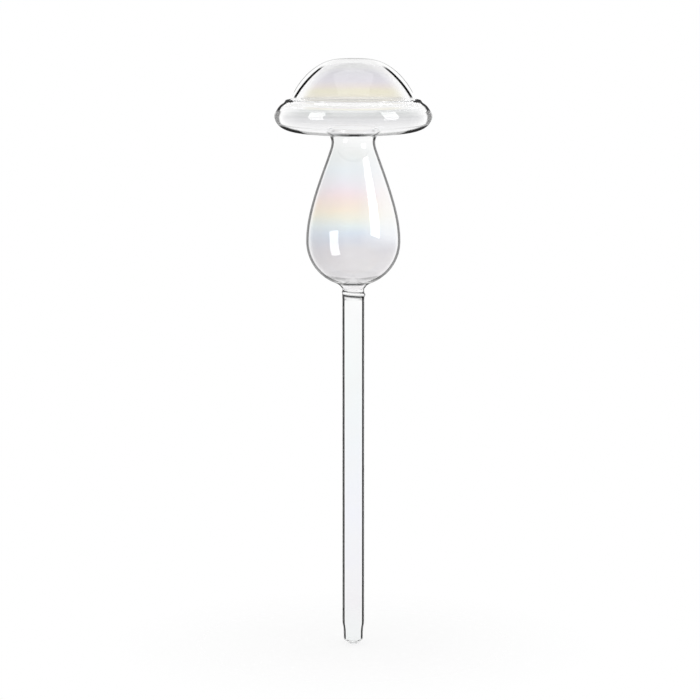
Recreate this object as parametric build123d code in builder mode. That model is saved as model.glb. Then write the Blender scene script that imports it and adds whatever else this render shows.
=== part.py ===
from build123d import *
import math
import os

# Watering globe of clear glass: a mushroom cap on a pear-shaped reservoir, over a long hollow spike.
# Millimetres, +Z up. The origin is on the axis, at the mouth of the drip orifice.

# Spike tube
tube_radius = 5.0
tube_wall = 1.0
tube_length = 150.1

# Drip tip, drawn in from the tube
tip_draw_in = 0.65
tip_taper = 0.1
tip_cone_height = 1.9
tip_sleeve_height = 4.4
tip_shoulder_height = 4.2
tip_wall = 0.9
tip_corner_round = 0.6
orifice_radius = 1.2
orifice_length = 1.0
orifice_lip = 0.5

# Seal bead, a helical ridge on a short collar
bead_radius = 0.9
bead_proud = 0.5
bead_pitch = 2.4
bead_turns = 1.1
bead_foot_angle = 111.0
seal_margin = 0.25
seal_swell = 0.25
seal_flare = 0.7
seal_swell_share = 0.5

# Reservoir bulb, from its neck to its flared mouth
neck_height = 1.9
neck_flare = 0.5
neck_round = 2.2
throat_flare = 0.7
belly_radius = 21.4
belly_arc_offset = 1.1
bulb_wall = 1.1
shoulder_height = 45.0
waist_radius = 9.9
mouth_height = 2.6
mouth_flare = 0.9
shoulder_shares = ((0.285, 0.43), (0.76, 0.79), (0.925, 0.91))

# Cap dome
dome_radius = 28.4
dome_height = 18.5
dome_wall = 1.6
dome_foot_round = 0.6
dome_shares = ((0.885, 0.30), (0.672, 0.665), (0.37, 0.937))
dome_foot_lean_share = 0.4

# Cap brim
brim_overhang = 4.9
brim_lower_height = 9.1
brim_upper_height = 5.8
brim_wall = 1.6
hub_land = 0.9
underside_shares = ((0.44, 0.13), (0.77, 0.31), (0.92, 0.55))
crown_shares = ((0.25, 0.46), (0.57, 0.775))
ledge_width = 2.0
ledge_drop = 0.7
step_width = 0.5
step_height = 1.1
ledge_round = 0.45
cap_throat_lip = 1.2

# Sizes that follow from these
bore_radius = tube_radius - tube_wall
tip_radius = tube_radius - tip_draw_in
tip_height = tip_cone_height + tip_sleeve_height + tip_shoulder_height
bead_rise = bead_pitch * bead_turns
seal_height = bead_rise + 2 * (bead_radius + seal_margin)
seal_top_radius = tube_radius + seal_flare
neck_radius = seal_top_radius + neck_flare
throat_radius = bore_radius + throat_flare
mouth_radius = waist_radius + mouth_flare
mouth_bore = mouth_radius - bulb_wall
hub_radius = mouth_radius + hub_land
ledge_radius = dome_radius + ledge_width
crown_radius = ledge_radius + step_width
brim_radius = crown_radius + brim_overhang
dome_bore = dome_radius - dome_wall
cap_throat_radius = dome_bore - cap_throat_lip

# Heights of the seams between the glass sections, from the tip upwards
tube_bottom = tip_height
tube_top = tube_bottom + tube_length
seal_top = tube_top + seal_height
belly_arc_radius = belly_radius - belly_arc_offset
belly_middle = neck_height + math.sqrt(belly_arc_radius**2 - (neck_radius - belly_arc_offset) ** 2)
bulb_height = belly_middle + shoulder_height + mouth_height
bulb_top = seal_top + bulb_height
brim_height = brim_lower_height + brim_upper_height + step_height + ledge_drop
brim_top = bulb_top + brim_height


def upright(height):
    """Upright plane at a height: its first axis is the radius, its second one runs up the glass axis."""
    return Plane(origin=(0, 0, height), x_dir=(1, 0, 0), z_dir=(0, -1, 0))


def along(start, end, shares):
    """Points between two ends, each by its share of the way across and its share of the way up."""
    across = end[0] - start[0]
    up = end[1] - start[1]
    return [(start[0] + across * side, start[1] + up * rise) for side, rise in shares]


def tip_outline(mouth, cone_height, end_radius, taper, sleeve_top, top, top_radius):
    """Outline of the tip or of its bore: cone, slightly tapered sleeve, then a soft shoulder."""
    foot = (end_radius, cone_height)
    knee = (end_radius + taper, sleeve_top)
    Polyline((0, 0), (mouth, 0), foot, knee)
    Spline(knee, (top_radius, top), tangents=((0, 1), (0, 1)))
    Polyline((top_radius, top), (0, top), (0, 0))


def bulb_outline(foot, neck, belly, arc_radius, waist, mouth):
    """Outline of the reservoir or of its hollow: neck, round belly, long shoulder, waist and mouth."""
    arc_centre = belly - arc_radius
    sweep_angle = math.degrees(math.acos((neck - arc_centre) / arc_radius))
    belly_foot = belly_middle - math.sqrt(arc_radius**2 - (neck - arc_centre) ** 2)
    waist_height = belly_middle + shoulder_height
    side = (belly, belly_middle)
    narrow = (waist, waist_height)
    over = along(side, narrow, shoulder_shares)
    Polyline((0, 0), (foot, 0), (neck, belly_foot))
    CenterArc((arc_centre, belly_middle), arc_radius, -sweep_angle, sweep_angle)
    Spline(side, *over, narrow, tangents=((0, 1), (0, 1)))
    TangentArc(narrow, (mouth, bulb_height), tangent=(0, 1))
    Polyline((mouth, bulb_height), (0, bulb_height), (0, 0))


def dome_outline(radius, height):
    """Outline of the dome or of its hollow: steep sides, round shoulders and a nearly flat top."""
    apex = (0, height)
    sides = along((0, 0), (radius, height), dome_shares)
    Spline((radius, 0), *sides, apex, tangents=((-dome_foot_lean_share, 1), (-1, 0)))
    Polyline(apex, (0, 0), (radius, 0))


def brim_curve(hub, floor, side, middle, crown, crown_height):
    """Side of the brim or of its hollow: dished underside, round edge, sloping crown."""
    rim = (side, middle)
    top = (crown, crown_height)
    under = along((hub, floor), rim, underside_shares)
    over = along(rim, top, crown_shares)
    last = over[-1]
    Spline((hub, floor), *under, rim, tangents=((1, 0), (0, 1)))
    Spline(rim, *over, top, tangents=((0, 1), (crown - last[0], crown_height - last[1])))


def ring_of(body, radius):
    """Round edge of a body whose radius is nearest to the one asked for."""
    return body.edges().filter_by(GeomType.CIRCLE).sort_by(lambda edge: abs(edge.radius - radius))[0]


os.makedirs("parts", exist_ok=True)

# Drip tip
with BuildPart() as drip_tip:
    with BuildSketch(upright(0)):
        with BuildLine():
            tip_outline(
                orifice_radius + orifice_lip,
                tip_cone_height,
                tip_radius,
                tip_taper,
                tip_cone_height + tip_sleeve_height,
                tip_height,
                tube_radius,
            )
        make_face()
    revolve(axis=Axis.Z)
    fillet(ring_of(drip_tip, tip_radius), radius=tip_corner_round)
    with BuildSketch(upright(orifice_length)):
        with BuildLine():
            tip_outline(
                orifice_radius,
                tip_cone_height,
                tip_radius - tip_wall,
                tip_taper,
                tip_cone_height + tip_sleeve_height - orifice_length,
                tip_height - orifice_length,
                bore_radius,
            )
        make_face()
    revolve(axis=Axis.Z, mode=Mode.SUBTRACT)
    with BuildSketch(Plane.XY):
        Circle(orifice_radius)
    extrude(amount=orifice_length, mode=Mode.SUBTRACT)
drip_tip.part.label = "drip_tip"
export_step(drip_tip.part, "parts/drip_tip.step")

# Spike tube
with BuildPart() as spike_tube:
    with BuildSketch(Plane.XY.offset(tube_bottom)):
        Circle(tube_radius)
        Circle(bore_radius, mode=Mode.SUBTRACT)
    extrude(amount=tube_length)
spike_tube.part.label = "spike_tube"
export_step(spike_tube.part, "parts/spike_tube.step")

# Seal bead
bead_foot = (0, 0, tube_top + bead_radius + seal_margin)
bead_line_radius = tube_radius + bead_proud - bead_radius
bead_line = Helix(bead_pitch, bead_rise, bead_line_radius, bead_foot, lefthand=True)
bead_line = bead_line.rotate(Axis.Z, bead_foot_angle)
with BuildPart() as seal_bead:
    with BuildSketch(upright(tube_top)):
        with BuildLine():
            swell_top = (tube_radius + seal_swell, seal_height * seal_swell_share)
            Polyline((0, 0), (tube_radius, 0), swell_top)
            Spline(swell_top, (seal_top_radius, seal_height), tangents=((0, 1), (1, 1)))
            Polyline((seal_top_radius, seal_height), (0, seal_height), (0, 0))
        make_face()
    revolve(axis=Axis.Z)
    with BuildSketch(Plane(origin=bead_line @ 0, z_dir=bead_line % 0)):
        Circle(bead_radius)
    sweep(path=bead_line, is_frenet=True)
    with Locations(bead_line @ 0, bead_line @ 1):
        Sphere(bead_radius)
    with BuildSketch(Plane.XY.offset(tube_top)):
        Circle(bore_radius)
    extrude(amount=seal_height, mode=Mode.SUBTRACT)
seal_bead.part.label = "seal_bead"
export_step(seal_bead.part, "parts/seal_bead.step")

# Reservoir bulb
with BuildPart() as bulb:
    with BuildSketch(upright(seal_top)):
        with BuildLine():
            bulb_outline(
                seal_top_radius, neck_radius, belly_radius, belly_arc_radius, waist_radius, mouth_radius
            )
        make_face()
    revolve(axis=Axis.Z)
    fillet(ring_of(bulb, neck_radius), radius=neck_round)
    with BuildSketch(upright(seal_top)):
        with BuildLine():
            bulb_outline(
                bore_radius,
                throat_radius,
                belly_radius - bulb_wall,
                belly_arc_radius - bulb_wall,
                waist_radius - bulb_wall,
                mouth_bore,
            )
        make_face()
    revolve(axis=Axis.Z, mode=Mode.SUBTRACT)
bulb.part.label = "bulb"
export_step(bulb.part, "parts/bulb.step")

# Cap brim
ledge_height = brim_height - ledge_drop
crown_height = ledge_height - step_height
ceiling = brim_height - dome_wall
with BuildPart() as cap_brim:
    with BuildSketch(upright(bulb_top)):
        with BuildLine():
            Polyline((0, brim_height), (0, 0), (hub_radius, 0))
            brim_curve(hub_radius, 0, brim_radius, brim_lower_height, crown_radius, crown_height)
            Polyline(
                (crown_radius, crown_height),
                (ledge_radius, ledge_height),
                (dome_radius, brim_height),
                (0, brim_height),
            )
        make_face()
    revolve(axis=Axis.Z)
    fillet(ring_of(cap_brim, ledge_radius), radius=ledge_round)
    with BuildSketch(upright(bulb_top)):
        with BuildLine():
            Polyline((0, ceiling), (0, brim_wall), (mouth_bore, brim_wall))
            brim_curve(
                mouth_bore,
                brim_wall,
                brim_radius - brim_wall,
                brim_lower_height,
                crown_radius - brim_wall,
                crown_height - brim_wall,
            )
            Polyline(
                (crown_radius - brim_wall, crown_height - brim_wall),
                (cap_throat_radius, ceiling),
                (0, ceiling),
            )
        make_face()
    revolve(axis=Axis.Z, mode=Mode.SUBTRACT)
    with BuildSketch(Plane.XY.offset(bulb_top)):
        Circle(mouth_bore)
    extrude(amount=brim_wall, mode=Mode.SUBTRACT)
    with BuildSketch(Plane.XY.offset(bulb_top + ceiling)):
        Circle(cap_throat_radius)
    extrude(amount=dome_wall, mode=Mode.SUBTRACT)
cap_brim.part.label = "cap_brim"
export_step(cap_brim.part, "parts/cap_brim.step")

# Cap dome
with BuildPart() as cap_dome:
    with BuildSketch(upright(brim_top)):
        with BuildLine():
            dome_outline(dome_radius, dome_height)
        make_face()
    revolve(axis=Axis.Z)
    fillet(ring_of(cap_dome, dome_radius), radius=dome_foot_round)
    with BuildSketch(upright(brim_top)):
        with BuildLine():
            dome_outline(dome_bore, dome_height - dome_wall)
        make_face()
    revolve(axis=Axis.Z, mode=Mode.SUBTRACT)
cap_dome.part.label = "cap_dome"
export_step(cap_dome.part, "parts/cap_dome.step")

print("tube top", tube_top, "seal top", seal_top, "bulb top", bulb_top, "brim top", brim_top)
print("overall height", brim_top + dome_height, "cap diameter", 2 * brim_radius)
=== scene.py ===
import logging
import math
from dataclasses import dataclass
from enum import Enum
from functools import reduce

import bpy
import numpy as np
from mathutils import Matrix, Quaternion, Vector


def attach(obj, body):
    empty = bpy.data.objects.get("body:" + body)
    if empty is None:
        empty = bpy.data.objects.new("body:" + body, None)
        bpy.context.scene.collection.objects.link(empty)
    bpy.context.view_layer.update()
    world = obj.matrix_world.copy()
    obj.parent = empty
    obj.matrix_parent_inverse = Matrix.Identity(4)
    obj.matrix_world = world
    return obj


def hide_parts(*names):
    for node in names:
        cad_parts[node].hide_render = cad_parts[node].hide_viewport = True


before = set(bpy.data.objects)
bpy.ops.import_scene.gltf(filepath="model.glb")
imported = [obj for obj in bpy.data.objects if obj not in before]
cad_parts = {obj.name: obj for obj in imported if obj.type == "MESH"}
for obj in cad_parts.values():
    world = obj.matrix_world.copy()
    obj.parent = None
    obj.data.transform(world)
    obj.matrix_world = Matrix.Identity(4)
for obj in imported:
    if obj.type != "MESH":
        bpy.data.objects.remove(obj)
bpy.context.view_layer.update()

log = logging.getLogger("watering_globe")

MM = 0.001
ROOT_BODY = "root"
GLASS_INDEX = 1.47
WHITE = (1.0, 1.0, 1.0, 1.0)

# Turned meshes: counts of points, and lengths in millimetres
SEGMENTS = 256
RUN_POINTS = 40
EASE_POINTS = 24
POLISH_PITCH = 0.04
SEAM_GAP = 0.02
SAME_POINT = 1e-7
RIPPLE_RADIUS = 30.0

# Glass: mirrored shares and facings where its painted dark lines start, the sides of its painted shade and
# painted highlight, and the clouds' waves per metre
CAUGHT = 0.97
SLANT_FULL = 0.25
GRAZE_FADE = 0.1
LEVEL_VIEW = (0.4, 0.65)
DRIFT_WAVES, CLOUD_WAVES, DRAG_WAVES = 45.0, 70.0, 160.0
CLOUD_EDGES = (0.35, 0.62)
DRAG_DEPTH = 0.02
PAINTED_SHADE_SIDE = (-18.0, -3.0)
PAINTED_HIGHLIGHT_SIDE = (2.0, 15.0)
PAINTED_HIGHLIGHT_RISE = 5.0

Band = tuple[float, float, float, float]
Point = tuple[float, float]
Points = tuple[Point, ...]
Names = tuple[str, ...]
Array = np.ndarray
Socket = bpy.types.NodeSocket
Inputs = dict[int | str, object]
Piece = bpy.types.Object


class Mark(Enum):
    """Numbers stored at a mesh's points, which its material reads by these names. Most of them place painted
    shade: dark lines and darker tint.
    """

    # CORE, SKIN and EDGE mix a flat dark into the glass: painted shade in lines
    CORE = "core_painted_shade"  # dark where the hollow side catches light in the wall
    SKIN = "skin_painted_shade"  # dark where the outside is seen at a grazing angle
    GRAZE = "skin_start"  # facing from which the skin's dark is drawn
    GAP = "skin_gap"  # share of it that the edge's dark leaves out
    EDGE = "edge_painted_shade"  # dark beside the outline, by the facing of an upright wall
    REACH = "edge_start"  # facing from which it is drawn
    SPAN = "edge_span"  # how far it goes on from there
    # SHADE darkens the tint: painted shade
    SHADE = "tint_painted_shade"  # light that the outside's tint takes besides
    FUSED = "fused"  # one where melted sections meet and no face shows


Marks = dict[Mark, Array | float]


# Outlines, as points of radius and height in millimetres


def run_lengths(line: Array) -> Array:
    """Length along an outline up to each of its points: the distances between neighbours added."""
    return np.concatenate([[0.0], np.cumsum(np.linalg.norm(np.diff(line, axis=0), axis=1))])


def sampled(line: Array, measure: Array, wanted: Array) -> Array:
    """Points of an outline where a measure along it has the wanted values."""
    return np.stack([np.interp(wanted, measure, line[:, axis]) for axis in (0, 1)], axis=1)


def straight(start: Point, end: Point) -> Array:
    """Points on a straight run: start times one minus the share, plus end times the share."""
    share = np.linspace(0.0, 1.0, RUN_POINTS)[:, None]
    return (1.0 - share) * np.array(start, float) + share * np.array(end, float)


def arc(centre: Point, radius: float, first: float, last: float, count: int = 120) -> Array:
    """Points on a circular arc: centre plus radius times the cosine and sine of angles in degrees."""
    angle = np.radians(np.linspace(first, last, count))[:, None]
    return np.array(centre, float) + radius * np.hstack([np.cos(angle), np.sin(angle)])


def spline(points: list[Point], leave: Point, arrive: Point, count: int = 240) -> Array:
    """Smooth curve through points: a cubic in each span, with slopes that let the bend run on at each point.

    The parameter is the added chord length, and the end slopes have unit length.

    Args:
        points: points that the curve passes.
        leave, arrive: directions at the first and the last point.
        count: how many points come back.

    Returns:
        Rows of radius and height.
    """
    knots = np.array(points, float)
    step = np.diff(knots, axis=0)
    gaps = np.linalg.norm(step, axis=1)
    place = run_lengths(knots)
    size = len(knots)
    system = np.eye(size)
    known = np.zeros((size, 2))
    known[[0, -1]] = [np.array(way, float) / np.hypot(*way) for way in (leave, arrive)]
    inner = np.arange(1, size - 1)
    before, after = gaps[:-1], gaps[1:]
    system[inner, inner - 1] = 1.0 / before
    system[inner, inner] = 2.0 / before + 2.0 / after
    system[inner, inner + 1] = 1.0 / after
    known[inner] = 3.0 * (step[:-1] / before[:, None] ** 2 + step[1:] / after[:, None] ** 2)
    slopes = np.linalg.solve(system, known)
    where = np.linspace(0.0, place[-1], count)
    span = np.clip(np.searchsorted(place, where, side="right") - 1, 0, size - 2)
    width = gaps[span][:, None]
    t = (where - place[span])[:, None] / width
    return (
        (2 * t**3 - 3 * t**2 + 1) * knots[span]
        + (t**3 - 2 * t**2 + t) * width * slopes[span]
        + (3 * t**2 - 2 * t**3) * knots[span + 1]
        + (t**3 - t**2) * width * slopes[span + 1]
    )


def share_points(start: Point, end: Point, shares: Points) -> list[Point]:
    """Points between two ends, each by its share of the way across and its share of the way up."""
    across, up = end[0] - start[0], end[1] - start[1]
    return [(start[0] + across * side, start[1] + up * rise) for side, rise in shares]


def joined(*runs: Array) -> Array:
    """One outline from several runs, leaving out each point that repeats the one before it."""
    line = np.vstack(runs)
    return line[np.concatenate([[True], np.linalg.norm(np.diff(line, axis=0), axis=1) > SAME_POINT])]


def polyline(*corners: Point) -> Array:
    """Straight runs from corner to corner."""
    return joined(*(straight(start, end) for start, end in zip(corners, corners[1:])))


def eased(line: Array, corner: Point, reach: float) -> Array:
    """Replaces a corner by the square blend of two ends and the corner: (1-t)^2 A + 2t(1-t) C + t^2 B.

    Args:
        line: outline with the corner in it.
        corner: the corner point.
        reach: distance along the outline from it to either end.

    Returns:
        The outline with the corner eased.
    """
    middle = int(np.argmin(np.linalg.norm(line - np.array(corner), axis=1)))
    run = run_lengths(line)
    first, last = run[middle] - reach, run[middle] + reach
    start, end = sampled(line, run, np.array([first, last]))
    t = np.linspace(0.0, 1.0, EASE_POINTS)[:, None]
    curve = (1 - t) ** 2 * start + 2 * t * (1 - t) * line[middle] + t**2 * end
    return np.vstack([line[run < first], curve, line[run > last]])


def fire_polished(loop: Array, softness: float) -> Array:
    """Rounds every edge of a closed outline a little, as a flame does.

    Each coordinate is smoothed round the evenly spaced loop with a bell curve as wide as the softness:
    its waves are scaled by exp(-2 (pi x softness x frequency)^2).

    Args:
        loop: closed outline, without its first point again.
        softness: width of the bell curve in millimetres.

    Returns:
        Evenly spaced closed outline.
    """
    closed = np.vstack([loop, loop[:1]])
    run = run_lengths(closed)
    count = 2 * int(math.ceil(run[-1] / POLISH_PITCH / 2))
    spaced = sampled(closed, run, np.linspace(0.0, run[-1], count, endpoint=False))
    frequency = np.fft.rfftfreq(count, run[-1] / count)[:, None]
    damping = np.exp(-2.0 * (math.pi * softness * frequency) ** 2)
    return np.fft.irfft(np.fft.rfft(spaced, axis=0) * damping, n=count, axis=0)


def respaced(path: Array, rows: int, stride: float, bend: float, closed: bool) -> Array:
    """Picks rows at equal steps of a measure: the length over the stride plus the turn over the bend.

    Args:
        path: dense outline.
        rows: how many rows to pick.
        stride, bend: length in millimetres and turn in degrees that count alike.
        closed: whether the last point joins the first.

    Returns:
        Rows of radius and height.
    """
    line = np.vstack([path, path[:1]]) if closed else path
    step = np.diff(line, axis=0)
    length = np.linalg.norm(step, axis=1)
    turn = np.abs(np.gradient(np.unwrap(np.arctan2(step[:, 1], step[:, 0]))))
    measure = np.concatenate([[0.0], np.cumsum(length / stride + turn / math.radians(bend))])
    return sampled(line, measure, np.linspace(0.0, measure[-1], rows, endpoint=not closed))


def bell(distance: Array, width: float) -> Array:
    """Bell curve of a distance: one at nought, falling off over the width."""
    return np.exp(-((distance / width) ** 2))


def ramp(value: Array, low: float, high: float) -> Array:
    """Soft step from nought at low to one at high: three times the square less twice the cube."""
    t = np.clip((value - low) / (high - low), 0.0, 1.0)
    return t * t * (3.0 - 2.0 * t)


def fading(value: Array, low: float, high: float) -> Array:
    """Soft step from one at low to nought at high: one less the ramp."""
    return 1.0 - ramp(value, low, high)


# Meshes


def hand_ripple(angle: Array, height: Array) -> Array:
    """Slow unevenness of hand-turned glass, in millimetres on a radius of thirty: three waves added."""
    return (
        0.045 * np.sin(2 * angle + 0.045 * height)
        + 0.030 * np.sin(3 * angle - 0.11 * height + 1.3)
        + 0.015 * np.sin(5 * angle + 0.23 * height + 0.4)
    )


def linked(name: str, data: bpy.types.ID) -> Piece:
    """Puts a mesh, lamp or camera into the scene, at the origin."""
    bpy.context.scene.collection.objects.link(made := bpy.data.objects.new(name, data))
    return made


def spun(outline: Array) -> tuple[Array, Array]:
    """Radii and heights of an outline's rows, the same at every step of angle."""
    return tuple(np.repeat(outline[:, [axis]], SEGMENTS, axis=1) for axis in (0, 1))


def turned_glass(name: str, radius: Array, height: Array, marks: Marks, poles: bool = False) -> Piece:
    """Closed mesh of a turned piece: point (row, step) is (r cos a, r sin a, z) for the step's angle a.

    Rows run anticlockwise round the wall's section, so faces point outwards.

    Args:
        name: the piece's name.
        radius, height: millimetres, rows by steps of angle.
        marks: numbers for the points.
        poles: whether it starts and ends on the axis.

    Returns:
        The new object, at the origin.
    """
    rows, steps = radius.shape
    angle = np.linspace(0.0, 2.0 * math.pi, steps, endpoint=False)[None, :]
    shaped = radius + hand_ripple(angle, height) * radius / RIPPLE_RADIUS
    points = np.stack([shaped * np.cos(angle), shaped * np.sin(angle), height], axis=2) * MM
    here = np.arange(steps)
    beside = np.roll(here, -1)
    if poles:
        grid = points[1:-1].reshape(-1, 3)
        ends = points[[0, -1], 0] * np.array([0.0, 0.0, 1.0])
        corners = np.vstack([grid, ends])
        row = np.arange(rows - 3)[:, None] * steps
        after = row + steps
        pole, top = np.full(steps, len(grid)), len(grid) - steps
        fans = (pole, beside, here), (top + here, top + beside, pole + 1)
        caps = np.vstack([np.stack(fan, axis=1) for fan in fans])
    else:
        corners = points.reshape(-1, 3)
        row = np.arange(rows)[:, None] * steps
        after = np.roll(row, -1, axis=0)
        caps = np.zeros((0, 3), int)
    quads = np.stack([row + here, row + beside, after + beside, after + here], axis=2).reshape(-1, 4)
    mesh = bpy.data.meshes.new(name)
    mesh.from_pydata(corners.tolist(), [], quads.tolist() + caps.tolist())
    mesh.polygons.foreach_set("use_smooth", np.ones(len(mesh.polygons), bool))
    for mark, values in marks.items():
        flat = np.broadcast_to(values, radius.shape)
        kept = np.concatenate([flat[1:-1].ravel(), flat[[0, -1], 0]]) if poles else flat.ravel()
        attribute = mesh.attributes.new(mark.value, "FLOAT", "POINT")
        attribute.data.foreach_set("value", kept.astype(np.float32))
    mesh.update()
    return linked(name, mesh)


# Finishes


def linear(colour: list[float]) -> Array:
    """Light values of a colour written as it shows on screen: the usual screen curve undone."""
    shown = np.array(colour, float)
    return np.where(shown <= 0.04045, shown / 12.92, ((shown + 0.055) / 1.055) ** 2.4)


class NodeSheet:
    """A material's or the world's node tree, with short calls that add nodes and join them."""

    def __init__(self, owner: bpy.types.Material | bpy.types.World) -> None:
        """Clears the tree.

        Args:
            owner: material or world that gets the nodes.
        """
        owner.use_nodes = True
        self.tree = owner.node_tree
        self.tree.nodes.clear()

    def add(self, kind: str, inputs: Inputs | None = None, **settings: object) -> bpy.types.Node:
        """Adds a node.

        Args:
            kind: its class name after ShaderNode.
            inputs: socket to join or value to set, by socket name or number. None leaves it.
            settings: the node's own settings.

        Returns:
            The node.
        """
        node = self.tree.nodes.new("ShaderNode" + kind)
        for key, value in settings.items():
            setattr(node, key, value)
        for key, value in (inputs or {}).items():
            if isinstance(value, Socket):
                self.tree.links.new(value, node.inputs[key])
            elif value is not None:
                node.inputs[key].default_value = value
        return node

    def maths(self, operation: str, first: object, second: object) -> Socket:
        """Result of one arithmetic step on two values."""
        return self.add("Math", {0: first, 1: second}, operation=operation).outputs[0]

    def product(self, *factors: object) -> Socket:
        """All factors multiplied."""
        return reduce(lambda made, factor: self.maths("MULTIPLY", made, factor), factors)

    def rest(self, share: object) -> Socket:
        """One less a share."""
        return self.maths("SUBTRACT", 1.0, share)

    def remap(
        self, value: object, low: object, high: object, first: float = 0.0, last: float = 1.0
    ) -> Socket:
        """Value moved from the range low to high into the range first to last, and held there."""
        ends = dict(enumerate((value, low, high, first, last)))
        return self.add("MapRange", ends, clamp=True).outputs[0]

    def blend(self, share: object, first: object, second: object) -> Socket:
        """Colour between two colours by a share."""
        return self.add("Mix", {0: share, 6: first, 7: second}, data_type="RGBA").outputs[2]

    def vector(self, operation: str, inputs: Inputs) -> bpy.types.bpy_prop_collection:
        """Outputs of one step on a vector or colour."""
        return self.add("VectorMath", inputs, operation=operation).outputs

    def noise(self, place: object, scale: float, detail: float = 2.0) -> Socket:
        """Cloudy value about a half, at a scale in waves per metre."""
        return self.add("TexNoise", {"Vector": place, "Scale": scale, "Detail": detail}).outputs[0]

    def mark(self, mark: Mark) -> Socket:
        """Number stored at the mesh's points."""
        return self.add("Attribute", attribute_name=mark.value).outputs["Fac"]

    def facing(self, normal: object = None) -> Socket:
        """Nought where the surface, or a wall of the given normal, faces the eye, and one edge on."""
        return self.add("LayerWeight", {"Normal": normal}).outputs["Facing"]

    def mirrored(self, normal: object = None) -> Socket:
        """Mirrored share of the surface, or of a wall of the given normal in its place."""
        return self.add("Fresnel", {"IOR": GLASS_INDEX, "Normal": normal}).outputs[0]

    def shader_mix(self, share: object, first: object, second: object) -> Socket:
        """Shader between two shaders by a share."""
        return self.add("MixShader", {0: share, 1: first, 2: second}).outputs[0]

    def flat_shader(self, kind: str, colour: object) -> Socket:
        """A shader that has only its colour set."""
        return self.add(kind, {"Color": colour}).outputs[0]


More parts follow.
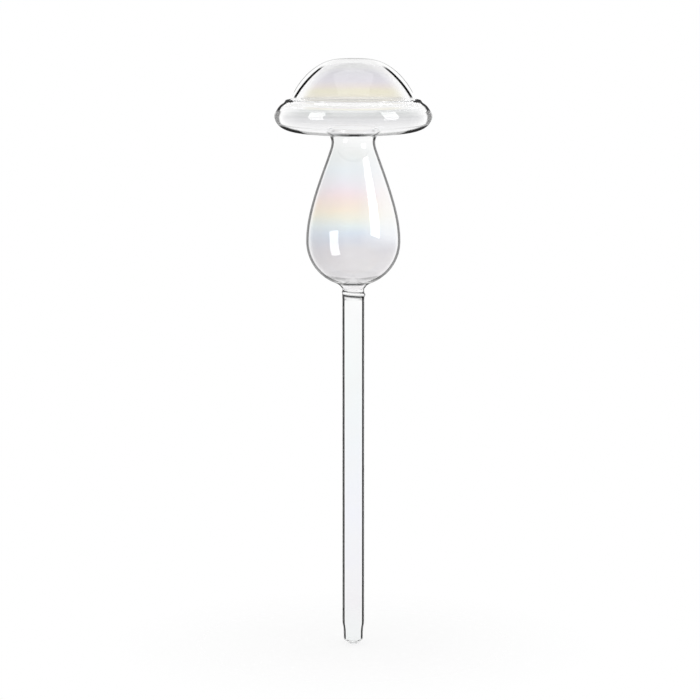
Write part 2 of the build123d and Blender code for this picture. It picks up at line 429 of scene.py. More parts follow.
@dataclass(frozen=True)
class LustreGlass:
    """Thin glass with a pale lustre film whose tint runs in bands up the piece.

    The tones are those that two walls show against white: the lustre's own tint, and where the bands step to
    grey and white by height, painted shade and painted light. Toward the edge the tint fades to white, a
    painted reflection of the white room. The wall's dark lines are painted shade, a flat dark mixed in where
    light is caught between the skins of a wall, where the skin is seen edge on, and beside the outline.

    Bands are heights in millimetres from the lowest up, each with the red, green and blue that it shows on
    screen. The tint fades between two mirrored shares, and the core's painted dark between two facings. The
    slant darkens the tint on sloping faces and the side shade the left side, both painted shade; the
    highlight share paints the right side pale above a height, a painted highlight.
    """

    name: str
    bands: tuple[Band, ...]
    haze: float
    cloud: float
    drift: float
    fade_from: float
    fade_to: float
    painted_shade_tone: float
    drag: float
    slot: str = "lustre_glass"
    painted_side_shade: float = 0.0
    painted_highlight_share: float = 0.0
    painted_highlight_above: float = 0.0
    core_full: float = 0.32
    core_end: float = 0.34
    edge_soft: float = 0.05
    slant: float = 0.0

    def material(self) -> bpy.types.Material:
        """Makes the node material.

        Returns:
            The material.
        """
        made = bpy.data.materials.new(self.name)
        sheet = NodeSheet(made)
        place = sheet.add("TexCoord").outputs["Object"]
        outwards = self._outwards(sheet, place)
        fresnel, sideways = sheet.mirrored(), sheet.mirrored(outwards)
        # Painted reflection of the white room: the tint fades to white toward the edge.
        edge = sheet.remap(sheet.maths("MINIMUM", fresnel, sideways), self.fade_from, self.fade_to)
        # Painted shade: the tint is darker on faces that slope away from an upright wall.
        steeper = sheet.maths("SUBTRACT", fresnel, sideways)
        slanting = sheet.remap(steeper, 0.0, SLANT_FULL, 1.0, 1.0 - self.slant)
        outside = sheet.rest(sheet.add("NewGeometry").outputs["Backfacing"])
        # Painted shade: the tint darkened by the shade mark where light comes from outside.
        shade = sheet.rest(sheet.product(outside, sheet.mark(Mark.SHADE)))
        dimmed = {0: self._tone(sheet, place), "Scale": sheet.product(slanting, shade)}
        tinted = sheet.blend(edge, sheet.vector("SCALE", dimmed)[0], WHITE)
        looks = {
            "Base Color": tinted,
            "Roughness": 0.0,
            "IOR": GLASS_INDEX,
            "Transmission Weight": 1.0,
            "Normal": self._drag_marks(sheet, place),
        }
        glass = sheet.add("BsdfPrincipled", looks).outputs[0]
        # Flat dark of the painted shade lines.
        painted_shade_dark = sheet.flat_shader("BsdfDiffuse", (self.painted_shade_tone,) * 3 + (1.0,))
        drawn = sheet.shader_mix(self._painted_shade_share(sheet, fresnel, outwards, outside), glass, painted_shade_dark)
        fused = sheet.mark(Mark.FUSED)
        clear = sheet.flat_shader("BsdfTransparent", sheet.blend(fused, tinted, WHITE))
        lamp = sheet.add("LightPath").outputs["Is Shadow Ray"]
        shown = sheet.shader_mix(sheet.maths("MAXIMUM", lamp, fused), drawn, clear)
        sheet.add("OutputMaterial", {"Surface": shown})
        return made

    @staticmethod
    def _outwards(sheet: NodeSheet, place: Socket) -> Socket:
        """Direction from the axis, the normal of an upright wall: x and y at unit length, and no z."""
        level = sheet.vector("MULTIPLY", {0: place, 1: (1.0, 1.0, 0.0)})
        return sheet.vector("NORMALIZE", {0: level[0]})[0]

    def _tone(self, sheet: NodeSheet, place: Socket) -> Socket:
        """Tint by height, pushed up and down and paled in clouds, with painted shade on the left side and a
        painted highlight on the right side above a height.

        Args:
            sheet: the node tree.
            place: Object coordinates.

        Returns:
            Colour that one wall surface lends.
        """
        across, _, height = sheet.add("SeparateXYZ", {0: place}).outputs
        wave = sheet.maths("SUBTRACT", sheet.noise(place, DRIFT_WAVES), 0.5)
        lifted = sheet.maths("ADD", height, sheet.product(wave, 2 * self.drift * MM))
        low, high = self.bands[0][0], self.bands[-1][0]
        ladder = sheet.add("ValToRGB", {0: sheet.remap(lifted, low * MM, high * MM)})
        stops = ladder.color_ramp.elements
        stops.remove(stops[0])
        stops[0].position = 1.0
        for band, *_ in self.bands[:-1]:
            stops.new((band - low) / (high - low))
        for stop, (_, *colour) in zip(stops, self.bands):
            stop.color = (*np.sqrt(linear(colour)), 1.0)
        pale = sheet.remap(sheet.noise(place, CLOUD_WAVES), *CLOUD_EDGES, 0.0, self.cloud)
        mottled = sheet.blend(pale, ladder.outputs[0], (self.haze,) * 3 + (1.0,))
        # Painted highlight: the right side paled toward white above a height.
        lit_side = sheet.remap(across, PAINTED_HIGHLIGHT_SIDE[0] * MM, PAINTED_HIGHLIGHT_SIDE[1] * MM, 0.0, self.painted_highlight_share)
        above = sheet.remap(height, (self.painted_highlight_above - PAINTED_HIGHLIGHT_RISE) * MM, self.painted_highlight_above * MM)
        highlighted = sheet.blend(sheet.product(lit_side, above), mottled, WHITE)
        # Painted shade: the left side darker.
        shaded_side = sheet.remap(across, PAINTED_SHADE_SIDE[0] * MM, PAINTED_SHADE_SIDE[1] * MM, 1.0 - self.painted_side_shade, 1.0)
        return sheet.vector("SCALE", {0: highlighted, "Scale": shaded_side})[0]

    def _painted_shade_share(self, sheet: NodeSheet, fresnel: Socket, outwards: Socket, outside: Socket) -> Socket:
        """Share of painted dark, a flat dark mixed in: where light is caught inside a wall, and where glass
        is seen edge on or beside its edge.

        The painted dark beside the edge is worked out for an upright wall, and goes where it is seen from
        above.

        Args:
            sheet: the node tree.
            fresnel: mirrored share.
            outwards: direction from the axis.
            outside: one where light comes from outside the glass.

        Returns:
            The share.
        """
        facing = sheet.facing()
        caught = sheet.maths("GREATER_THAN", fresnel, CAUGHT)
        near = sheet.remap(facing, self.core_full, self.core_end, 1.0, 0.0)
        core = sheet.product(caught, near, sheet.mark(Mark.CORE))
        graze = sheet.mark(Mark.GRAZE)
        grazed = sheet.remap(facing, graze, sheet.maths("ADD", graze, GRAZE_FADE))
        past = sheet.maths("SUBTRACT", sheet.facing(outwards), sheet.mark(Mark.REACH))
        span = sheet.mark(Mark.SPAN)
        ended = sheet.remap(past, span, sheet.maths("ADD", span, self.edge_soft), 1.0, 0.0)
        up = sheet.add("CombineXYZ", {"Z": 1.0}).outputs[0]
        level_view = sheet.remap(sheet.facing(up), *LEVEL_VIEW)
        beside = sheet.product(sheet.remap(past, 0.0, self.edge_soft), ended, level_view)
        edge = sheet.product(beside, sheet.mark(Mark.EDGE))
        kept = sheet.rest(sheet.product(beside, sheet.mark(Mark.GAP)))
        skin = sheet.product(grazed, kept, sheet.mark(Mark.SKIN))
        return sheet.maths("MAXIMUM", core, sheet.product(sheet.maths("MAXIMUM", skin, edge), outside))

    def _drag_marks(self, sheet: NodeSheet, place: Socket) -> Socket:
        """Normal with the faint drag marks of flame-worked glass."""
        marks = {"Height": sheet.noise(place, DRAG_WAVES, 1.0), "Distance": DRAG_DEPTH * MM}
        return sheet.add("Bump", marks | {"Strength": self.drag}).outputs[0]


DOME_LUSTRE = LustreGlass(
    name="dome_lustre_painted_shade_and_light",
    bands=(
        (250.0, 0.80, 0.805, 0.825), (252.5, 0.92, 0.90, 0.84),
        (255.5, 0.915, 0.895, 0.80), (257.5, 0.905, 0.87, 0.85),
        (260.0, 0.87, 0.855, 0.885), (264.0, 0.84, 0.835, 0.86),
        (268.0, 1.0, 1.0, 1.0),
    ),
    haze=0.8534, cloud=0.15, drift=0.6, painted_side_shade=0.02, fade_from=0.046, fade_to=0.085,
    edge_soft=0.03, slant=0.22, painted_shade_tone=0.0, drag=0.05,
)

BRIM_LUSTRE = LustreGlass(
    name="brim_lustre_painted_shade_and_light",
    # Grey in the middle, white at the foot and the crown: the lustre's tint, with painted shade and painted
    # light by height.
    bands=(
        (234.5, 1.0, 1.0, 0.99), (237.85, 0.98, 0.98, 0.985),
        (239.2, 0.96, 0.96, 0.965), (240.6, 0.945, 0.945, 0.95),
        (241.85, 0.875, 0.875, 0.88), (243.2, 0.80, 0.80, 0.81),
        (244.6, 0.82, 0.825, 0.83), (245.6, 0.84, 0.845, 0.845),
        (247.0, 0.80, 0.81, 0.81), (247.8, 0.86, 0.87, 0.865),
        (248.4, 1.0, 1.0, 1.0),
    ),
    haze=0.8923502, cloud=0.3, drift=0.4, fade_from=0.047, fade_to=0.14, painted_shade_tone=0.03, drag=0.02,
)

BULB_LUSTRE = LustreGlass(
    name="bulb_lustre_painted_shade_and_light",
    # Pastel tint of the lustre, with a grey step near the foot that is painted shade.
    bands=(
        (165.5, 0.93, 0.92, 0.93), (168.0, 0.99, 0.985, 0.99),
        (168.8, 0.92, 0.915, 0.92), (169.4, 0.80, 0.795, 0.80),
        (169.9, 0.81, 0.80, 0.81), (170.6, 0.86, 0.855, 0.86),
        (172.0, 0.88, 0.87, 0.88), (180.0, 0.865, 0.85, 0.86),
        (185.0, 0.845, 0.84, 0.87), (188.5, 0.82, 0.855, 0.915),
        (192.0, 0.875, 0.925, 0.96), (195.5, 0.935, 0.96, 0.93),
        (199.5, 0.985, 0.94, 0.85), (204.5, 0.985, 0.91, 0.865),
        (209.0, 0.965, 0.90, 0.915), (213.0, 0.94, 0.925, 0.95),
        (219.0, 0.92, 0.95, 0.97), (226.0, 0.94, 0.955, 0.95),
        (234.7, 1.0, 1.0, 1.0),
    ),
    haze=0.8957955, cloud=0.35, drift=1.6, painted_side_shade=0.08, painted_highlight_share=0.75, painted_highlight_above=189.0,
    fade_from=0.11, fade_to=0.24, core_full=0.36, core_end=0.40, painted_shade_tone=0.04, drag=0.08,
)

CLEAR_GLASS = LustreGlass(
    name="clear_drawn_glass_painted_shade_and_light",
    slot="clear_glass",
    bands=(
        (0.0, 0.965, 0.98, 0.98), (20.0, 0.95, 0.945, 0.955),
        (60.0, 0.95, 0.955, 0.985), (120.0, 0.955, 0.975, 0.975),
        (166.0, 1.0, 1.0, 1.0),
    ),
    haze=0.957819, cloud=0.5, drift=6.0, fade_from=0.08, fade_to=0.3, core_full=0.50,
    core_end=0.60, painted_shade_tone=0.02, drag=0.04,
)


# The glass sections, from the top down


@dataclass
class GlassSection:
    """A turned section of glass that stands for CAD nodes. Its own heights start at its seat.

    Stride and bend are the length and the turn in degrees that count alike in the spacing of its rows.
    Starts and ends of painted lines and painted shade are pairs of heights.
    """

    name: str
    nodes: Names
    finish: LustreGlass
    seat: float
    softness: float = 0.14
    rows: int = 200
    stride: float = 1.2
    bend: float = 5.0
    hollow_at: Point | None = None
    poles: bool = False

    def section(self) -> Array:
        """Anticlockwise outline of the wall, as rows of radius and height from the seat."""
        raise NotImplementedError

    def marks(self, outline: Array, inner: Array) -> Marks:
        """Numbers for the material, one a row or one for all: they place its painted dark lines and painted
        shade.

        Args:
            outline: rows of radius and height.
            inner: one on the hollow side.

        Returns:
            The marks.
        """
        raise NotImplementedError

    @staticmethod
    def fused(height: Array, *seams: float) -> Array:
        """One on the flat faces where sections are melted together, so that they don't show."""
        nearest = np.min([np.abs(height - seam) for seam in seams], axis=0)
        return fading(nearest, 2.0 * SEAM_GAP, 5.0 * SEAM_GAP)

    def hollow_side(self, outline: Array) -> Array:
        """One where a row looks to the hollow's middle or the axis: its tangent turned a quarter clockwise.

        Args:
            outline: rows of radius and height.

        Returns:
            Nought or one a row.
        """
        if self.poles:
            tangent = np.gradient(outline, axis=0)
        else:
            tangent = np.roll(outline, -1, axis=0) - np.roll(outline, 1, axis=0)
        across, up = tangent.T
        if self.hollow_at is None:
            return (up < 0.0).astype(float)
        to_middle = (np.array(self.hollow_at) - outline).T
        return (up * to_middle[0] - across * to_middle[1] > 0.0).astype(float)

    def outline(self) -> Array:
        """The section with its edges rounded, in rows that lie closer together where it bends."""
        dense = fire_polished(self.section(), self.softness)
        return respaced(dense, self.rows, self.stride, self.bend, closed=True)

    def build(self) -> Piece:
        """Turns the outline into a closed mesh.

        Returns:
            The dressed piece.
        """
        outline = self.outline()
        inner = self.hollow_side(outline)
        radius, height = spun(outline)
        given = self.marks(outline, inner).items()
        marks = {mark: np.broadcast_to(values, len(outline))[:, None] for mark, values in given}
        return self.dress(turned_glass(self.name, radius, height + self.seat, marks, self.poles))

    def dress(self, piece: Piece) -> Piece:
        """Gives the piece its glass and its body, and hides the CAD nodes that it stands for.

        Args:
            piece: the mesh object.

        Returns:
            The same object.
        """
        piece.data.materials.append(self.finish.material())
        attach(piece, ROOT_BODY)
        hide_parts(*self.nodes)
        log.info("%s: %d faces, stands for %s", piece.name, len(piece.data.polygons), self.nodes)
        return piece


@dataclass
class CapDome(GlassSection):
    """Blown dome, the upper step of the cap: steep sides, round shoulders and a nearly flat top."""

    name: str = "dome_glass"
    nodes: Names = ("cap_dome",)
    finish: LustreGlass = DOME_LUSTRE
    seat: float = 251.389
    radius: float = 28.4
    rise: float = 18.5
    wall: float = 1.6
    foot_lean: float = 0.4
    foot_round: float = 0.6
    side_shares: Points = ((0.90, 0.30), (0.70, 0.665), (0.38, 0.95))
    hollow_at: Point | None = (0.0, 2.0)
    poles: bool = True
    foot_end: Point = (1.4, 2.1)
    lens: float = 1.3
    skin_start: Point = (2.9, 3.6)
    skin_thins: Point = (13.0, 17.0)
    edge_start: Point = (0.7, 1.6)
    edge_end: Point = (13.8, 15.8)
    shoulder: float = 15.2

    def side(self, radius: float, rise: float) -> Array:
        """Outer or inner side, from its foot to the axis."""
        up = [(radius * across, rise * height) for across, height in self.side_shares]
        return spline([(radius, SEAM_GAP), *up, (0.0, rise)], (-self.foot_lean, 1.0), (-1.0, 0.0))

    def section(self) -> Array:
        """Half outline from the hollow's top round the foot to the dome's top, then its mirror image."""
        foot = (self.radius, SEAM_GAP)
        hollow = self.side(self.radius - self.wall, self.rise - self.wall)[::-1]
        half = joined(hollow, straight(hollow[-1], foot), self.side(self.radius, self.rise))
        half = eased(half, foot, self.foot_round)
        mirror = half[::-1] * np.array([-1.0, 1.0])
        return np.vstack([half, mirror[1:-1]])

    def outline(self) -> Array:
        """Half of the section with its edges rounded, from axis to axis.

        Returns:
            Rows of radius and height.
        """
        dense = fire_polished(self.section(), self.softness)
        half = dense[: len(dense) // 2 + 1]
        outline = respaced(half, self.rows, self.stride, self.bend, closed=False)
        outline[[0, -1], 0] = 0.0
        return outline

    def marks(self, outline: Array, inner: Array) -> Marks:
        """Painted dark lines down the sides that end below the flat top, and painted shade at the foot and at
        the shoulders.
        """
        height = outline[:, 1]
        outer = 1.0 - inner
        # Painted shade: a darker band at the foot and a crescent above it.
        foot = 0.2 * fading(height, *self.foot_end) + 0.16 * bell(height - self.lens, 0.4)
        side = ramp(height, *self.skin_start) * (0.8 - 0.4 * ramp(height, *self.skin_thins))
        return {
            Mark.SKIN: outer * side,
            Mark.GRAZE: 0.84,
            Mark.EDGE: outer * ramp(height, *self.edge_start) * fading(height, *self.edge_end),
            Mark.REACH: 0.625 - 0.0148 * height,
            Mark.SPAN: 0.112,
            Mark.SHADE: outer * foot + 0.08 * bell(height - self.shoulder, 2.2),
            Mark.FUSED: self.fused(height, 0.0),
        }


@dataclass
class CapBrim(GlassSection):
    """Wide hollow ring, the lower step of the cap: dished underside, round edge, sloping crown, ledge."""

    name: str = "brim_glass"
    nodes: Names = ("cap_brim",)
    finish: LustreGlass = BRIM_LUSTRE
    seat: float = 235.389
    rows: int = 300
    hub: float = 11.7
    hub_hole: float = 9.7
    rim: float = 35.8
    rim_height: float = 8.4
    crown: Point = (31.2, 14.6)
    ledge: Point = (30.65, 15.72)
    top: Point = (28.4, 16.0)
    throat: float = 25.6
    wall: float = 0.9
    under_shares: Points = ((0.44, 0.075), (0.77, 0.255), (0.92, 0.515))
    over_shares: Points = ((0.25, 0.46), (0.57, 0.775))
    hollow_at: Point | None = (21.48, 8.4)
    upper_start: Point = (4.0, 5.5)
    under_end: Point = (5.0, 7.0)
    under_edge: Point = (24.5, 31.0)
    step_start: Point = (10.8, 11.6)
    ledge_start: Point = (14.8, 15.2)

    def side(self, hub: float, floor: float, rim: float, crown: Point) -> Array:
        """Outer or inner side, from the hub over the round edge to the crown.

        Args:
            hub, floor: radius and height of its start.
            rim: radius of the round edge.
            crown: its last point.

        Returns:
            Rows of radius and height.
        """
        edge = (rim, self.rim_height)
        under = share_points((hub, floor), edge, self.under_shares)
        over = share_points(edge, crown, self.over_shares)
        heading = (crown[0] - over[-1][0], crown[1] - over[-1][1])
        return joined(
            spline([(hub, floor), *under, edge], (1.0, 0.0), (0.0, 1.0)),
            spline([edge, *over, crown], (0.0, 1.0), heading),
        )

    def section(self) -> Array:
        """Hub, underside, edge, crown, ledge and top, then back through the hollow."""
        top = (self.top[0], self.top[1] - SEAM_GAP)
        ceiling = (self.throat, self.crown[1])
        inner_crown = (self.crown[0] - self.wall, self.crown[1] - self.wall)
        hollow = self.side(self.hub_hole, self.wall, self.rim - self.wall, inner_crown)[::-1]
        outer = self.side(self.hub, SEAM_GAP, self.rim, self.crown)
        loop = joined(
            straight((self.hub_hole, SEAM_GAP), (self.hub, SEAM_GAP)),
            outer,
            polyline(self.crown, self.ledge, top, (self.throat, top[1]), ceiling, inner_crown),
            hollow,
            straight((self.hub_hole, self.wall), (self.hub_hole, SEAM_GAP)),
        )
        for corner, reach in ((self.ledge, 0.45), (self.crown, 0.5), (inner_crown, 1.5), (ceiling, 0.5)):
            loop = eased(loop, corner, reach)
        return loop[:-1]

    def marks(self, outline: Array, inner: Array) -> Marks:
        """Painted dark line under the brim, a painted double line at its edge, and a painted black line at
        groove and ledge.
        """
        radius, height = outline[:, 0], outline[:, 1]
        outer = 1.0 - inner
        upper = ramp(height, *self.upper_start)
        step = ramp(height, *self.step_start)
        ledge = ramp(height, *self.ledge_start)
        hub = fading(radius, self.hub + 0.2, self.hub + 0.8)
        return {
            Mark.SKIN: outer * (1.0 - 0.5 * upper),
            Mark.GRAZE: 0.81 - fading(height, *self.under_end) * 0.15 * ramp(radius, *self.under_edge),
            Mark.GAP: 0.52 * outer * (1.0 - upper),
            Mark.EDGE: outer * (0.72 * upper + 0.28 * step),
            Mark.REACH: 0.63 * upper + 0.09 * step - 0.2 * ledge,
            Mark.SPAN: 0.32 - 0.1 * upper + 1.8 * step,
            Mark.FUSED: np.maximum(self.fused(height, 0.0, self.top[1]), hub),
        }


@dataclass
class Bulb(GlassSection):
    """Pear-shaped reservoir: short neck, round belly, long shoulder, waist and flared mouth."""

    name: str = "bulb_glass"
    nodes: Names = ("bulb",)
    finish: LustreGlass = BULB_LUSTRE
    seat: float = 165.54
    rows: int = 320
    foot: float = 5.2
    neck: float = 6.2
    foot_bore: float = 4.0
    throat: float = 4.7
    belly: float = 21.4
    belly_offset: float = 1.1
    middle: float = 21.549
    waist: float = 9.9
    waist_height: float = 66.549
    mouth_height: float = 3.3
    mouth_flare: float = 1.2
    wall: float = 1.1
    neck_round: float = 2.6
    shoulder_shares: Points = ((0.285, 0.43), (0.76, 0.79), (0.925, 0.91))
    neck_end: Point = (1.6, 2.4)
    fillet: float = 2.3
    throat_line: float = 2.58
    core_start: Point = (3.5, 5.0)
    painted_foot_shade: float = 5.8
    side_start: Point = (6.0, 8.0)

    def side(self, foot: float, neck: float, belly: float, waist: float) -> Array:
        """Outer or inner side, from the foot to the mouth.

        Args:
            foot, neck, belly, waist: radii at the foot, where the belly's arc starts, there and at the waist.

        Returns:
            Rows of radius and height.
        """
        sweep = belly - self.belly_offset
        turn = math.degrees(math.acos((neck - self.belly_offset) / sweep))
        belly_foot = self.middle - math.sqrt(sweep**2 - (neck - self.belly_offset) ** 2)
        narrow = (waist, self.waist_height)
        over = share_points((belly, self.middle), narrow, self.shoulder_shares)
        bend = (self.mouth_flare**2 + self.mouth_height**2) / (2 * self.mouth_flare)
        opening = math.degrees(math.asin(self.mouth_height / bend))
        line = joined(
            straight((foot, SEAM_GAP), (neck, belly_foot)),
            arc((self.belly_offset, self.middle), sweep, -turn, 0.0),
            spline([(belly, self.middle), *over, narrow], (0.0, 1.0), (0.0, 1.0), 400),
            arc((waist + bend, self.waist_height), bend, 180.0, 180.0 - opening, 40),
        )
        line[-1, 1] -= SEAM_GAP
        return eased(line, (neck, belly_foot), self.neck_round)

    def section(self) -> Array:
        """Outer side upwards, over the mouth and down the hollow."""
        outer = self.side(self.foot, self.neck, self.belly, self.waist)
        inner = self.side(self.foot_bore, self.throat, self.belly - self.wall, self.waist - self.wall)[::-1]
        return joined(outer, straight(outer[-1], inner[0]), inner, straight(inner[-1], outer[0]))[:-1]

    def marks(self, outline: Array, inner: Array) -> Marks:
        """Painted grey lines down both sides, painted black at the mouth, a painted throat line across the
        foot and painted shade at the foot.
        """
        height = outline[:, 1]
        outer = 1.0 - inner
        mouth = self.waist_height + self.mouth_height
        below = fading(height, mouth - 1.2, mouth - 0.7)
        flare = ramp(height, mouth - 3.0, mouth - 1.8)
        neck = fading(height, *self.neck_end)
        side = ramp(height, *self.side_start) * (1.0 - flare)
        fillet = bell(height - self.fillet, 0.6)
        throat = bell(height - self.throat_line, 0.55)
        across = throat > 0.15
        # Painted shade at the foot, darker toward the sides.
        tint = 0.36 * bell(height - self.painted_foot_shade, 1.1)
        lines = np.maximum.reduce([flare, 0.9 * neck, tint, 0.3 * side, throat])
        return {
            Mark.CORE: inner * below * ramp(height, *self.core_start),
            Mark.SKIN: outer * below * (0.7 + 0.3 * fillet),
            Mark.GRAZE: 0.82 - 0.09 * fillet,
            Mark.SHADE: 0.12 * bell(height - self.painted_foot_shade, 0.7),
            Mark.EDGE: outer * below * lines,
            Mark.REACH: np.where(across, -0.1, 0.52 * flare + 0.42 * neck + 0.72 * side),
            Mark.SPAN: np.where(across, 0.3, 2.0),
            Mark.FUSED: self.fused(height, 0.0, mouth),
        }


@dataclass
class SealBead(GlassSection):
    """Short collar at the neck with a slanting ridge, where bulb and tube are fused."""

    name: str = "seal_glass"
    nodes: Names = ("seal_bead",)
    finish: LustreGlass = CLEAR_GLASS
    seat: float = 160.6
    rows: int = 220
    softness: float = 0.08
    stride: float = 0.12
    bend: float = 8.0
    bore: float = 4.0
    foot: float = 5.0
    swell: Point = (5.05, 2.47)
    top: Point = (5.2, 4.94)
    ridge_radius: float = 0.9
    ridge_line: float = 4.6
    ridge_foot: float = 1.15
    ridge_rise: float = 2.64
    ridge_turns: float = 1.1
    ridge_angle: float = 111.0
    ridge_blend: float = 0.06
    sink: float = 0.3
    sink_angle: float = 180.0
    sink_width: float = 45.0
    core_end: Point = (1.2, 1.8)

    def section(self) -> Array:
        """Foot, swelling side, top and bore."""
        low, high = SEAM_GAP, self.top[1] - SEAM_GAP
        return joined(
            straight((self.foot, low), self.swell),
            spline([self.swell, (self.top[0], high)], (0.0, 1.0), (1.0, 1.0)),
            polyline((self.top[0], high), (self.bore, high), (self.bore, low), (self.foot, low)),
        )[:-1]

    def ridge(self, height: Array, angle: Array) -> tuple[Array, Array]:
        """Distance of each point from the ridge's line, and its side of it.

        The line climbs evenly while its angle falls. A point's share of it is its angle behind the foot over
        the whole turn. Rise off the line and run past its ends are a right angle's sides.

        Args:
            height: heights from the seat.
            angle: each step's angle in degrees.

        Returns:
            Distance, and height above the line.
        """
        behind = np.mod(self.ridge_angle - angle, 360.0) + 360.0 * np.arange(-1, 2)[:, None, None]
        whole = 360.0 * self.ridge_turns
        share = np.clip(behind / whole, 0.0, 1.0)
        past = np.radians(behind - share * whole) * self.ridge_line
        above = height[None] - self.ridge_foot - share * self.ridge_rise
        distance = np.hypot(above, past)
        nearest = np.argmin(distance, axis=0)[None]
        return np.take_along_axis(distance, nearest, 0)[0], np.take_along_axis(above, nearest, 0)[0]

    def build(self) -> Piece:
        """Turns the collar, then lifts its outer side to the ridge where the ridge stands higher.

        The greater of the two is half of their sum plus half of the root of their difference squared plus
        the blend squared.

        Returns:
            The dressed piece.
        """
        outline = self.outline()
        inner = self.hollow_side(outline)[:, None]
        radius, height = spun(outline)
        angle = np.linspace(0.0, 360.0, SEGMENTS, endpoint=False)[None, :]
        outer = ramp(radius, self.bore + 0.5, self.foot - 0.15)
        distance, above = self.ridge(height, angle)
        crest = self.ridge_line + np.sqrt(np.maximum(self.ridge_radius**2 - distance**2, 0.0))
        crest -= self.sink * bell(angle - self.sink_angle, self.sink_width)
        lift = 0.5 * (crest - radius + np.sqrt((crest - radius) ** 2 + self.ridge_blend**2))
        # Painted shade in lines: dark at the ridge's lower and upper creases, beside the outline and in the
        # bore.
        below = np.where(above < 0.0, bell(distance - 0.95, 0.58), 0.0)
        over = np.where(above < 0.0, 0.0, bell(distance - 0.98, 0.3))
        marks = {
            Mark.CORE: np.where(inner > 0.0, fading(height, *self.core_end), 0.0),
            Mark.SKIN: outer * np.maximum(below, 0.6 * over),
            Mark.GRAZE: -0.2,
            Mark.EDGE: outer * (0.7 + 0.3 * over),
            Mark.REACH: 0.55 - 0.45 * over,
            Mark.SPAN: 2.0,
            Mark.FUSED: self.fused(height, 0.0, self.top[1]),
        }
        return self.dress(turned_glass(self.name, radius + outer * lift, height + self.seat, marks))


@dataclass
class Spike(GlassSection):
    """Long hollow spike: drawn tube, soft shoulder, slightly tapered sleeve and coned, open tip."""

    name: str = "spike_glass"
    nodes: Names = ("spike_tube", "drip_tip")
    finish: LustreGlass = CLEAR_GLASS
    seat: float = 0.0
    rows: int = 260
    stride: float = 2.5
    radius: float = 5.0
    bore: float = 4.0
    top: float = 160.6
    shoulder_top: float = 10.5
    knee: Point = (4.45, 6.3)
    sleeve: Point = (4.35, 1.9)
    sleeve_round: float = 0.5
    lip: float = 1.7
    orifice: float = 1.2
    orifice_length: float = 1.0
    tip_wall: float = 0.9
    tube_start: Point = (1.9, 2.4)
    core_start: Point = (2.1, 2.5)
    edge_start: Point = (2.6, 3.6)
    orifice_line: float = 0.9

    def section(self) -> Array:
        """Lip, cone, sleeve, shoulder and tube upwards, then down the bore to the orifice."""
        top = self.top - SEAM_GAP
        knee = (self.knee[0] - self.tip_wall, self.knee[1])
        sleeve = (self.sleeve[0] - self.tip_wall, self.sleeve[1] + 0.3 * self.orifice_length)
        side, wall = (self.radius, self.shoulder_top), (self.bore, self.shoulder_top)
        up = (0.0, 1.0)
        loop = joined(
            polyline((self.orifice, 0.0), (self.lip, 0.0), self.sleeve, self.knee),
            spline([self.knee, side], up, up),
            polyline(side, (self.radius, top), (self.bore, top), wall),
            spline([knee, wall], up, up)[::-1],
            polyline(knee, sleeve, (self.orifice, self.orifice_length), (self.orifice, 0.0)),
        )
        return eased(loop, self.sleeve, self.sleeve_round)[:-1]

    def marks(self, outline: Array, inner: Array) -> Marks:
        """Painted dark lines down both sides, which end at the cone, and painted dark at the sides of the
        orifice.
        """
        height = outline[:, 1]
        outer = 1.0 - inner
        tube = ramp(height, *self.tube_start)
        orifice = bell(height - self.orifice_line, 0.35)
        return {
            Mark.CORE: inner * ramp(height, *self.core_start),
            Mark.SKIN: outer * 0.7,
            Mark.GRAZE: 0.8,
            Mark.EDGE: outer * np.maximum(orifice, 0.8 * ramp(height, *self.edge_start)),
            Mark.REACH: 0.4 * tube,
            Mark.SPAN: 0.14 + 0.04 * tube,
            Mark.FUSED: self.fused(height, self.top),
        }


# The studio


@dataclass
class Softbox:
    """A soft rectangular lamp that looks at a point on the glass.

    The azimuth counts from the camera's side, the elevation from level, and the roll about the line of sight,
    in degrees. Lengths are in metres. Without names under lights it lights every piece.
    """

    name: str
    azimuth: float
    elevation: float
    distance: float
    size: Point
    radiance: float
    aim: tuple[float, float, float]
    roll: float = 0.0
    lights: Names = ()

    def place(self, pieces: dict[str, Piece]) -> None:
        """Hangs the lamp.

        Args:
            pieces: the glass sections by name.
        """
        turn, lift = math.radians(self.azimuth), math.radians(self.elevation)
        way = Vector((math.sin(turn) * math.cos(lift), -math.cos(turn) * math.cos(lift), math.sin(lift)))
        data = bpy.data.lights.new(self.name, "AREA")
        data.shape = "RECTANGLE"
        data.size, data.size_y = self.size
        data.energy = self.radiance * math.pi * self.size[0] * self.size[1]
        lamp = linked(self.name, data)
        lamp.location = Vector(self.aim) + self.distance * way
        turned = way.to_track_quat("Z", "Y") @ Quaternion((0.0, 0.0, 1.0), math.radians(self.roll))
        lamp.rotation_euler = turned.to_euler()
        lamp.visible_camera = False
        lamp.visible_transmission = False
        if self.lights:
            group = bpy.data.collections.new(self.name + "_receivers")
            for piece in self.lights:
                group.objects.link(pieces[piece])
            lamp.light_linking.receiver_collection = group


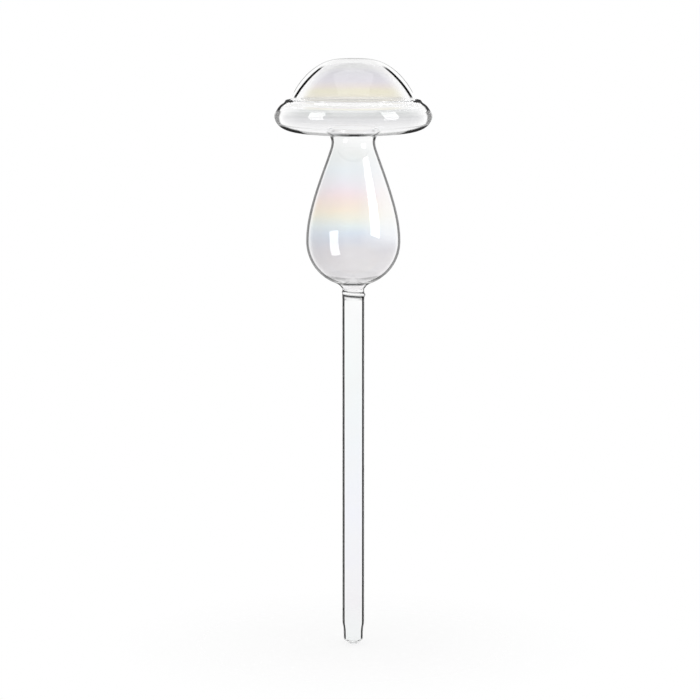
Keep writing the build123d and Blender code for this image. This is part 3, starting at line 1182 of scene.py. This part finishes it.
@dataclass
class Studio:
    """Plain white studio: even light, soft lamps, a pale floor at the tip and the camera.

    Lengths are in metres and the pitch in degrees. The axis offset is the pixels from the picture's middle
    to the glass axis and to the middle height.
    """

    middle: float = 0.135
    distance: float = 1.3
    pitch: float = 7.7
    focal_pixels: float = 2841.74
    image_pixels: float = 700.0
    axis_offset: Point = (3.3, 4.57)
    floor_radius: float = 0.12
    floor_points: int = 96
    floor_fade: Point = (0.3, 0.95)
    even_light: float = 0.8
    floor_glow: float = 0.7
    bounces: int = 96

    def camera(self) -> None:
        """Camera a little above the object's middle, at the photograph's viewing angle."""
        data = bpy.data.cameras.new("camera")
        data.sensor_width = 36.0
        data.lens = self.focal_pixels / self.image_pixels * data.sensor_width
        data.shift_x = -self.axis_offset[0] / self.image_pixels
        data.shift_y = self.axis_offset[1] / self.image_pixels
        tilt = math.radians(self.pitch)
        camera = linked("camera", data)
        camera.location = (0.0, -self.distance * math.cos(tilt), self.middle + self.distance * math.sin(tilt))
        camera.rotation_euler = (math.pi / 2 - tilt, 0.0, 0.0)
        bpy.context.scene.camera = camera

    def world(self) -> None:
        """Even light for matt surfaces, and plain white for the camera and through and off glass."""
        world = bpy.data.worlds.new("white_room")
        sheet = NodeSheet(world)
        soft = sheet.add("Background", {"Color": WHITE, "Strength": self.even_light}).outputs[0]
        white = sheet.flat_shader("Background", WHITE)
        room = sheet.shader_mix(self._sight(sheet), soft, white)
        sheet.add("OutputWorld", {"Surface": room})
        bpy.context.scene.world = world

    @staticmethod
    def _sight(sheet: NodeSheet) -> Socket:
        """One for what the camera sees, also through and off glass, and nought for light on surfaces."""
        path = sheet.add("LightPath").outputs
        rays = (path[f"Is {kind} Ray"] for kind in ("Camera", "Glossy", "Transmission"))
        return reduce(lambda seen, ray: sheet.maths("MAXIMUM", seen, ray), rays)

    def floor(self) -> None:
        """Round matt floor under the tip that fades into the white room by its distance from the axis."""
        count = self.floor_points
        angle = np.linspace(0.0, 2.0 * math.pi, count, endpoint=False)
        rim = np.stack([np.cos(angle), np.sin(angle), np.zeros(count)], axis=1) * self.floor_radius
        mesh = bpy.data.meshes.new("floor")
        mesh.from_pydata(rim.tolist(), [], [list(range(count))])
        floor = linked("floor", mesh)
        made = bpy.data.materials.new("matt_white")
        sheet = NodeSheet(made)
        place = sheet.add("TexCoord").outputs["Object"]
        length = sheet.vector("LENGTH", {0: place})["Value"]
        fade = sheet.remap(length, *(share * self.floor_radius for share in self.floor_fade))
        matt = sheet.flat_shader("BsdfDiffuse", (0.96, 0.96, 0.96, 1.0))
        glow = sheet.flat_shader("Emission", WHITE)
        pale = sheet.shader_mix(sheet.product(self._sight(sheet), self.floor_glow), matt, glow)
        clear = sheet.flat_shader("BsdfTransparent", WHITE)
        sheet.add("OutputMaterial", {"Surface": sheet.shader_mix(fade, pale, clear)})
        mesh.materials.append(made)

    def lamps(self, pieces: dict[str, Piece]) -> None:
        """Overhead lamp, and softboxes whose reflections lie on brim and bulb.

        Args:
            pieces: the glass sections by name.
        """
        brim_aim, bulb_aim, belly_aim = (0.0, 0.0, 0.243), (0.0, 0.0, 0.195), (0.0, 0.0, 0.187)
        boxes = [
            Softbox("overhead", 0.0, 80.0, 0.9, (0.7, 0.7), 1.2, (0.0, 0.0, 0.1)),
            Softbox("brim_left", -59.5, 25.6, 0.6, (0.235, 0.62), 7.0, brim_aim, 18.0, ("brim_glass",)),
            Softbox("brim_right", 60.2, 24.0, 0.6, (0.235, 0.66), 7.0, brim_aim, -16.0, ("brim_glass",)),
            Softbox("bulb_left", -44.0, -8.2, 0.12, (0.047, 0.08), 9.0, belly_aim, 5.0, ("bulb_glass",)),
            Softbox("bulb_strip", 57.6, 20.4, 0.6, (0.27, 0.42), 9.0, bulb_aim, -10.0, ("bulb_glass",)),
        ]
        for box in boxes:
            box.place(pieces)

    def view(self) -> None:
        """Plain picture settings, and enough bounces for light to cross every wall."""
        scene = bpy.context.scene
        scene.view_settings.view_transform = "Standard"
        for kind in ("max", "transmission", "glossy", "transparent_max"):
            setattr(scene.cycles, kind + "_bounces", self.bounces)


def main() -> None:
    """Builds the glass sections from the top down, then the studio, and notes the sizes."""
    logging.basicConfig(level=logging.INFO, format="%(name)s %(message)s")
    sections = (CapDome(), CapBrim(), Bulb(), SealBead(), Spike())
    pieces = {piece.name: piece for piece in (section.build() for section in sections)}
    studio = Studio()
    studio.camera()
    studio.world()
    studio.floor()
    studio.lamps(pieces)
    studio.view()


if __name__ == "__main__":
    main()
